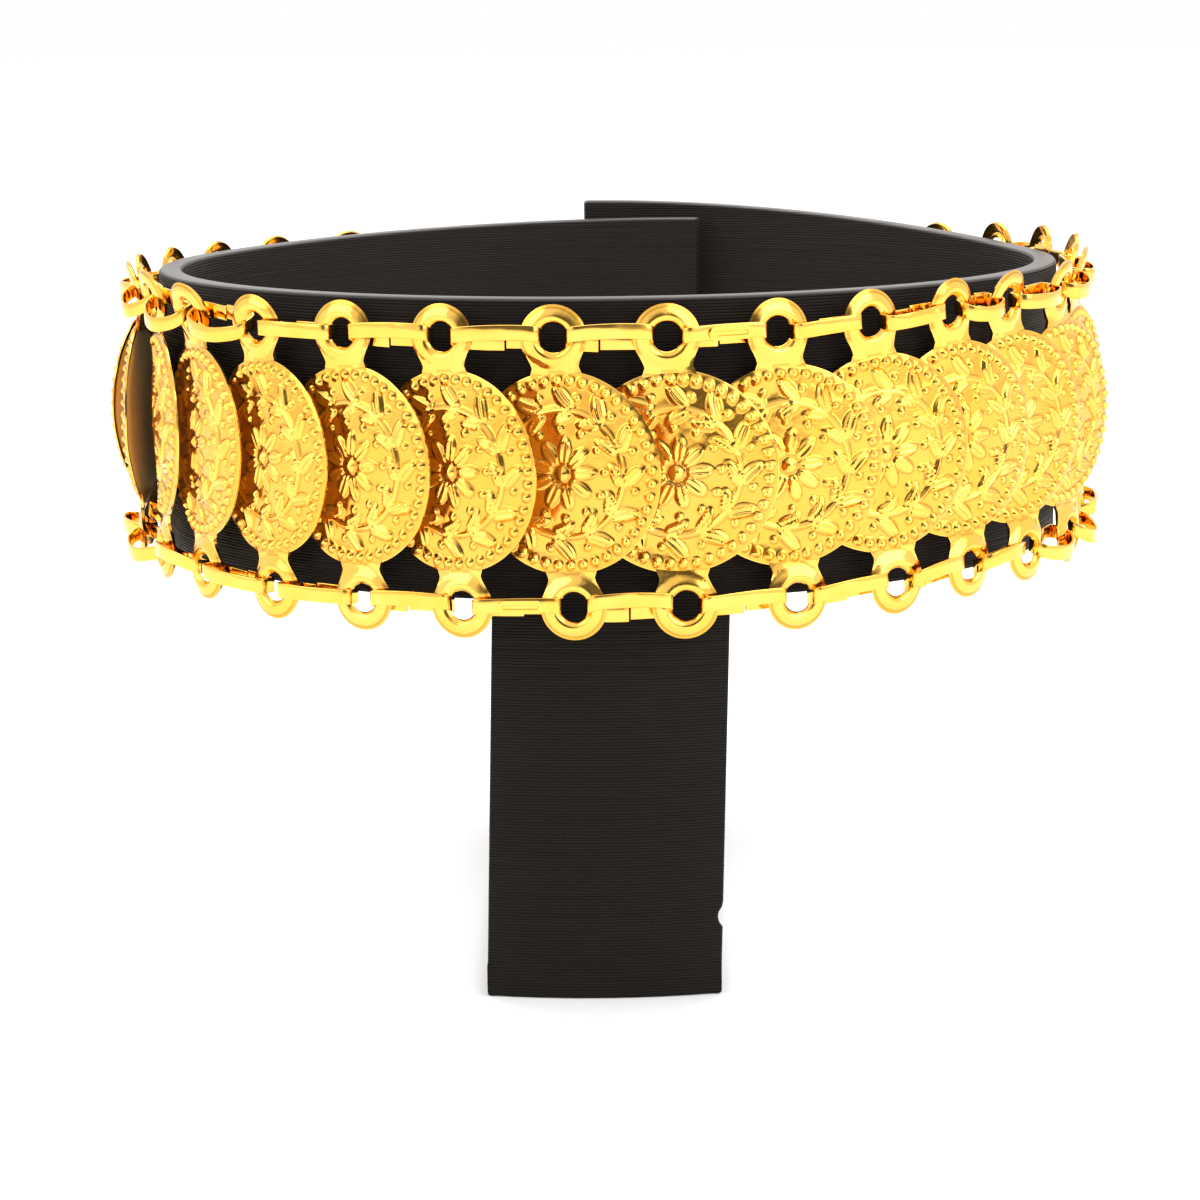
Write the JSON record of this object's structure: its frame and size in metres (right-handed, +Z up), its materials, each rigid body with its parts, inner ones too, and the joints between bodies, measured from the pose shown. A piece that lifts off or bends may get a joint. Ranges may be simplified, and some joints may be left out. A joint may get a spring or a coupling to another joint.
{
  "type": "coin belt bracelet on a display stand",
  "caption": "Ring of thin overlapping gilt coins, eyed and linked top and bottom by bent strips, worn on a black curved band stand with one front leg and a flat foot.",
  "frame": {"origin": "on the underside of the stand's foot, below the middle of the ring", "axes": "+Z up, front of the stand and its leg towards -Y, +X to the right as seen from the front"},
  "size_m": [0.0725, 0.0732, 0.0481],
  "materials": {
    "gold": "bright gold plating over stamped sheet",
    "gold_link": "bright gold plating over bent strip",
    "stand_plastic": "black printed plastic with fine level layer lines"
  },
  "bodies": {
    "root": {"coin_01": "gold", "coin_02": "gold", "coin_03": "gold", "coin_04": "gold", "coin_05": "gold", "coin_06": "gold", "coin_07": "gold", "coin_08": "gold", "coin_09": "gold", "coin_10": "gold", "coin_11": "gold", "coin_12": "gold", "coin_13": "gold", "coin_14": "gold", "coin_15": "gold", "coin_16": "gold", "coin_17": "gold", "coin_18": "gold", "coin_19": "gold", "coin_20": "gold", "coin_21": "gold", "coin_22": "gold", "coin_23": "gold", "coin_24": "gold", "coin_25": "gold", "coin_26": "gold", "coin_27": "gold", "coin_28": "gold", "coin_29": "gold", "top_link_08": "gold_link", "top_link_09": "gold_link", "top_link_10": "gold_link", "top_link_11": "gold_link", "top_link_12": "gold_link", "top_link_13": "gold_link", "top_link_14": "gold_link", "top_link_15": "gold_link", "top_link_16": "gold_link", "top_link_17": "gold_link", "top_link_18": "gold_link", "top_link_19": "gold_link", "top_link_20": "gold_link", "top_link_21": "gold_link", "bottom_link_08": "gold_link", "bottom_link_09": "gold_link", "bottom_link_10": "gold_link", "bottom_link_11": "gold_link", "bottom_link_12": "gold_link", "bottom_link_13": "gold_link", "bottom_link_14": "gold_link", "bottom_link_15": "gold_link", "bottom_link_16": "gold_link", "bottom_link_17": "gold_link", "bottom_link_18": "gold_link", "bottom_link_19": "gold_link", "bottom_link_20": "gold_link", "bottom_link_21": "gold_link", "top_hook": "gold_link", "bottom_hook": "gold_link", "display_stand": "stand_plastic"}
  },
  "joints": []
}
